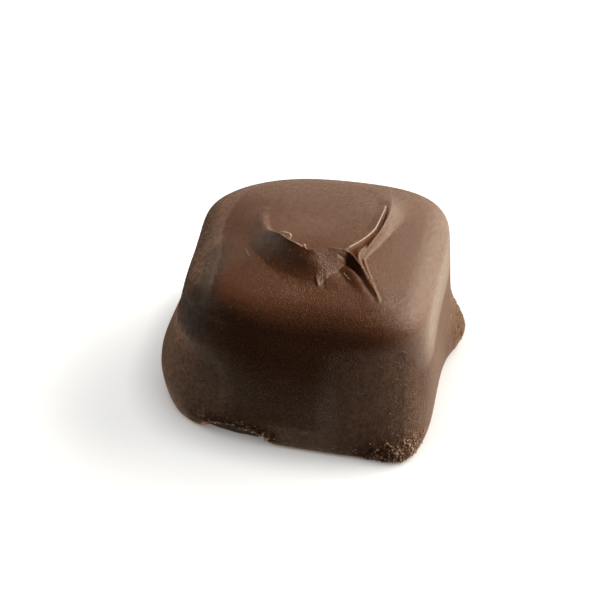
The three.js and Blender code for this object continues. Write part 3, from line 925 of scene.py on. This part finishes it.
def mixture(tree, label, first, first_part, second, second_part):
    """The sum of two values, each times its part."""
    return calculate(tree, label, "ADD", calculate(tree, label + ", first", "MULTIPLY", first, first_part),
                     calculate(tree, label + ", second", "MULTIPLY", second, second_part))


def bumpy(tree, skin, height, depth):
    """A bump in the skin, as deep in millimetres as its height says times this depth."""
    bump = add_node(tree, "ShaderNodeBump", "grain bump", {"Distance": depth * MM, "Height": height})
    socket(tree, bump.outputs["Normal"], skin.inputs["Normal"])


# %% Dipped chocolate
DARK_MILK = (0.176, 0.059, 0.0265, 1)
DEEP = (0.085, 0.032, 0.0155, 1)
# the colour of the painted shade
PAINTED_SHADE = (0.034, 0.014, 0.008, 1)
COCOA_DUST = (0.51, 0.25, 0.158, 1)
RUSTY = (0.31, 0.16, 0.09, 1)
# pink bloom, and a painted highlight on the bulge
PINK_BLOOM_AND_HIGHLIGHT = (0.72, 0.39, 0.29, 1)
SUGAR = (0.60, 0.44, 0.32, 1)

chocolate, tree, skin, place, grain = grained("dipped chocolate", 7000)
dusty, gritty, rusty, pale, shaded = (
    add_node(tree, "ShaderNodeAttribute", name, attribute_name=name).outputs["Fac"]
    for name in ("dust", "coarse", "rust", "bloom_and_highlight", "dark")
)
stretched = add_node(tree, "ShaderNodeMapping", "stretched down", {"Scale": (1, 1, 0.12), "Vector": place})
drips = add_node(tree, "ShaderNodeTexNoise", "drips down the walls",
                 {"Scale": 1100, "Detail": 2, "Vector": stretched.outputs[0]})
patchy = mixture(tree, "clouds and drips", grain["Mottle"], 0.5, drips.outputs["Fac"], 0.5)
thicker = mixture(tree, "more where dusty", patchy, 1.0, dusty, 0.5)
in_patches = broken(tree, "dust in patches", dusty, thicker, 0.5, 1.05, 0.1, 1.0)
dust_share = broken(tree, "dust in grains", in_patches, grain["Grain"], 0.15, 0.85, 0.35, 1.0)
uneven = calculate(tree, "clouds and grain", "ADD", spread(tree, "clouds", grain["Mottle"], 0, 1, -0.08, 0.14),
                   spread(tree, "fine shade", grain["Grain"], 0, 1, 0, 0.42))
colour = DARK_MILK
for name, share, over in (  # from the lowest layer to the top
    ("cloudy chocolate", uneven, DEEP),
    ("rusty crystals", broken(tree, "rust in clouds", rusty, grain["Mottle"], 0.2, 0.9, 0.35, 1.0), RUSTY),
    # pink bloom, and on the bulge a painted highlight
    ("pink bloom", broken(tree, "bloom_and_highlight in clouds", pale, grain["Mottle"], 0.25, 0.8, 0.35, 0.95), PINK_BLOOM_AND_HIGHLIGHT),
    ("cocoa dust", dust_share, COCOA_DUST),
    # painted shade, where the dark zone says
    ("painted shade layer", calculate(tree, "most of it", "MULTIPLY", shaded, 0.9), PAINTED_SHADE),
    ("specks", calculate(tree, "faint specks", "MULTIPLY", grain["Specks"], 0.35), SUGAR),
):
    colour = tint(tree, name, share, colour, over)
socket(tree, colour, skin.inputs["Base Color"])

rubbed = calculate(tree, "dust or grit", "MAXIMUM", dusty, gritty)
uneven_shine = calculate(tree, "uneven shine", "ADD",
                         spread(tree, "dull where dusty", rubbed, 0.05, 0.6, 0.25, 0.62),
                         spread(tree, "shine clouds", grain["Mottle"], 0, 1, -0.02, 0.04))
socket(tree, uneven_shine, skin.inputs["Roughness"])
relief = broken(tree, "grain height", grain["Grain"], gritty, 0, 1, 0.2, 2.4)
bumpy(tree, skin, mixture(tree, "grain and clouds", relief, 1.0, grain["Mottle"], 0.08), 0.11)
coat.data.materials.append(chocolate)
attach(coat, "root")
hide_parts(NODE)
print("The coat's finish has", len(tree.nodes), "nodes")

# %% [markdown]
# ## Crumbs, threads and specks
# A hand-dipped piece is never clean. Crumbs of chocolate stick to the foot, the chipped rim and the
# scuffed band, crystals to the lump and the foot, and pale specks to the top and the front corner. One
# crumb is modelled, then copied, turned and sized at random from a fixed seed.

# %% A crumb, and how crumbs are strewn
def crumb_model(name, rounds):
    """One rough crumb, a millimetre across, as a mesh."""
    bpy.ops.mesh.primitive_ico_sphere_add(subdivisions=rounds, radius=0.5)
    piece = named(name)
    edit(piece)
    bpy.ops.mesh.select_all(action="SELECT")
    bpy.ops.transform.vertex_random(offset=0.16, seed=4)
    bpy.ops.transform.resize(value=(1, 0.8, 0.65))
    leave()
    return piece


A_TURN = 6.28  # radians, about a whole turn
STANDS_OFF = 0.12  # how far a crumb's middle stands off the skin, as a share of its size


def strewn(name, model, beds, material, seed):
    """Copies a model onto the coat round some places, and joins the copies into one piece."""
    chance = np.random.default_rng(seed)
    shape = places(model)
    faces = [tuple(face.vertices) for face in model.data.polygons]
    coat_rows, spots, normals = over_dome(coat), places(coat), places(coat, "normal")
    corners, all_faces = [], []
    for *middle, radius, count, smallest, largest in beds:
        near = np.nonzero(np.linalg.norm(coat_rows - np.array(middle), axis=1) < radius)[0]
        for chosen in chance.choice(near, count):
            size = smallest + (largest - smallest) * chance.random() ** 2
            round_z = Matrix.Rotation(chance.random() * A_TURN, 3, "Z")
            turn = round_z @ Matrix.Rotation(chance.random() * A_TURN, 3, "X")
            spot = spots[chosen] + normals[chosen] * size * STANDS_OFF * MM
            all_faces += [tuple(v + len(corners) * len(shape) for v in face) for face in faces]
            corners.append((shape * size * MM) @ np.array(turn).T + spot)
    mesh = bpy.data.meshes.new(name)
    mesh.from_pydata(np.vstack(corners).tolist(), [], all_faces)
    piece = bpy.data.objects.new(name, mesh)
    bpy.context.scene.collection.objects.link(piece)
    mesh.materials.append(material)
    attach(piece, "root")
    print("The piece", name, "has", len(corners), "grains and", len(all_faces), "faces")


# %% The crumb's finish
def crumb_finish(name, light, deep, roughness):
    """A grainy finish between two colours."""
    made, tree, skin, _, grain = grained(name, 5200)
    mixed = mixture(tree, "grain and clouds", grain["Grain"], 0.4, grain["Mottle"], 0.6)
    socket(tree, tint(tree, "two shades", mixed, deep, light), skin.inputs["Base Color"])
    skin.inputs["Roughness"].default_value = roughness
    bumpy(tree, skin, grain["Grain"], 0.05)
    return made


crumb_brown = crumb_finish("chocolate crumb", (0.84, 0.56, 0.40, 1), (0.24, 0.11, 0.065, 1), 0.3)
crystal_brown = crumb_finish("rusty crystal", (0.50, 0.36, 0.25, 1), (0.26, 0.15, 0.09, 1), 0.3)
sugar_pale = crumb_finish("sugar speck", (0.85, 0.70, 0.55, 1), (0.55, 0.38, 0.26, 1), 0.45)

# %% Strewing them
CRUMB_BEDS = (  # place, radius, how many, smallest and largest size
    (8.4, -13.6, 0.8, 1.6, 60, 0.08, 0.26), (10.4, -13.3, 0.8, 1.8, 110, 0.08, 0.3),
    (12.2, -12.6, 1.2, 1.8, 110, 0.08, 0.3), (13.3, -11.2, 1.8, 1.4, 50, 0.08, 0.24),
    (11.4, -12.2, 4.0, 1.4, 40, 0.06, 0.16), (11.4, -11.9, 7.0, 1.6, 44, 0.06, 0.16),
    (11.1, -11.3, 10.5, 1.5, 36, 0.06, 0.15), (-9.6, -12.2, 1.3, 0.9, 14, 0.12, 0.3),
    (-7.8, -12.7, 1.7, 0.9, 22, 0.12, 0.35), (-6.2, -13.1, 1.8, 0.9, 26, 0.12, 0.35),
    (-4.6, -13.3, 1.8, 0.9, 26, 0.12, 0.35), (-3.0, -13.4, 1.7, 0.9, 26, 0.12, 0.4),
    (-1.7, -13.5, 1.3, 0.8, 20, 0.12, 0.4), (-2.2, -13.5, 1.4, 0.4, 4, 0.45, 0.75),
    (-8.6, -12.4, 1.7, 0.8, 14, 0.1, 0.26), (-11.3, 1.8, 15.2, 2.0, 16, 0.07, 0.15),
    (-11.0, -2.2, 15.3, 2.0, 20, 0.07, 0.15), (-10.5, -6.0, 15.3, 2.0, 12, 0.07, 0.14),
)
CRYSTAL_BEDS = (
    (14.6, 8.1, 3.3, 1.9, 120, 0.06, 0.17), (14.9, 5.8, 2.4, 1.9, 120, 0.06, 0.17),
    (14.2, 4.6, 1.0, 1.3, 50, 0.06, 0.16), (11.8, -12.9, 1.2, 2.0, 50, 0.07, 0.18),
)
SPECK_BEDS = (
    (0.0, 0.0, 17.0, 9.5, 50, 0.07, 0.15), (-6.0, -6.0, 16.4, 5.0, 28, 0.07, 0.14),
    (9.0, 2.0, 16.4, 5.0, 20, 0.06, 0.14), (-9.0, -10.8, 6.0, 5.0, 20, 0.05, 0.11),
    (11.6, -13.0, 1.0, 1.6, 60, 0.06, 0.14), (13.0, -11.8, 1.6, 1.4, 40, 0.06, 0.14),
    (-11.0, 2.5, 15.4, 2.2, 110, 0.05, 0.11), (-10.9, -1.0, 15.4, 2.2, 90, 0.05, 0.1),
    (-10.6, -4.5, 15.4, 2.2, 70, 0.05, 0.1), (11.1, -11.2, 10.6, 1.3, 36, 0.05, 0.11),
    (11.4, -11.8, 7.4, 1.4, 44, 0.05, 0.12), (11.5, -12.1, 4.2, 1.4, 44, 0.05, 0.12),
)
for name, rounds, beds, material, seed in (
    ("crumbs", 2, CRUMB_BEDS, crumb_brown, 11),
    ("crystals", 2, CRYSTAL_BEDS, crystal_brown, 12),
    ("specks", 1, SPECK_BEDS, sugar_pale, 13),
):
    model = crumb_model(name + " model", rounds)
    strewn(name, model, beds, material, seed)
    bpy.data.objects.remove(model)

# %% [markdown]
# Where the string of chocolate broke, two films curl up from the crest, and thinner ones run along it and
# along the arm. Two loose threads lie nearby. All are a fifth of a millimetre thick or less. Each is a
# smooth line with a round section, turned into a mesh.

# %% Films and threads
def thread(run, thickness):
    """A thin round thread through some places, which are given over the dome."""
    lifted = [(x, y, bare[np.hypot(*(bare[:, :2] - (x, y)).T).argmin(), 2] + up) for x, y, up in run]
    line = bpy.data.curves.new("thread", "CURVE")
    line.dimensions = "3D"
    line.bevel_depth = thickness / 2 * MM
    line.bevel_resolution = 2
    line.use_fill_caps = True
    places_along = smooth_line(lifted, 6)
    spline = line.splines.new("POLY")
    spline.points.add(len(places_along) - 1)
    for point, at in zip(spline.points, places_along):
        point.co = (*(Vector(at) * MM + OFF_MIDDLE.to_3d()), 1)
    piece = bpy.data.objects.new("thread", line)
    bpy.context.scene.collection.objects.link(piece)
    alone(piece)
    bpy.ops.object.convert(target="MESH")
    return bpy.context.object


def joined(name, pieces, material):
    """Joins some pieces into one that rides with the coat."""
    alone(pieces[0])
    for piece in pieces:
        piece.select_set(True)
    bpy.ops.object.join()
    made = named(name)
    made.data.materials.append(material)
    bpy.ops.object.shade_smooth()
    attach(made, "root")
    return made


FILM_RUNS = (  # places over the dome, and the thickness
    (((-3.18, -2.4, 1.4), (-3.06, -2.3, 1.55), (-2.63, -2.36, 1.66), (-2.15, -2.5, 1.68), (-1.96, -2.78, 1.66),
      (-2.14, -3.02, 1.5)), 0.2),
    (((-0.32, -3.7, 1.7), (-0.35, -3.86, 1.7), (-0.23, -4.04, 1.6), (0.07, -4.2, 1.45)), 0.16),
    (((-2.58, -2.85, 1.5), (-2.24, -3.05, 1.35), (-2.0, -3.3, 1.05)), 0.12),
    (((-4.3, -1.52, 1.14), (-3.92, -1.98, 1.38), (-3.2, -2.44, 1.56), (-2.26, -3.13, 1.64), (-1.38, -3.6, 1.66),
      (-0.6, -3.99, 1.64)), 0.09),
    (((3.9, -2.6, 1.22), (4.13, -2.23, 1.18), (4.75, -1.14, 1.08), (5.32, 0.12, 0.98), (5.77, 1.45, 0.88),
      (6.01, 3.37, 0.78), (6.14, 5.44, 0.6), (6.1, 6.4, 0.4)), 0.12),
    (((-1.5, -3.5, 1.5), (-1.16, -3.62, 1.6), (-0.82, -3.81, 1.64), (-0.42, -4.02, 1.55)), 0.13),
)
# The films' pale colour, far lighter than the coat, is painted light: the light they catch and let through.
film_painted_light = crumb_finish("thin film", (0.90, 0.70, 0.60, 1), (0.64, 0.40, 0.31, 1), 0.3)
films = joined("films", [thread(run, thick) for run, thick in FILM_RUNS], film_painted_light)
THREAD_THICK = 0.06
THREAD_RUNS = (
    ((3.92, -5.41, 0.42), (4.31, -5.75, 0.36), (4.65, -5.97, 0.27)),
    ((-6.38, -3.2, 0.05), (-6.09, -3.81, 0.06), (-5.76, -4.37, 0.05)),
)
joined("threads", [thread(run, THREAD_THICK) for run in THREAD_RUNS], sugar_pale)
print("The films have", len(films.data.polygons), "faces")
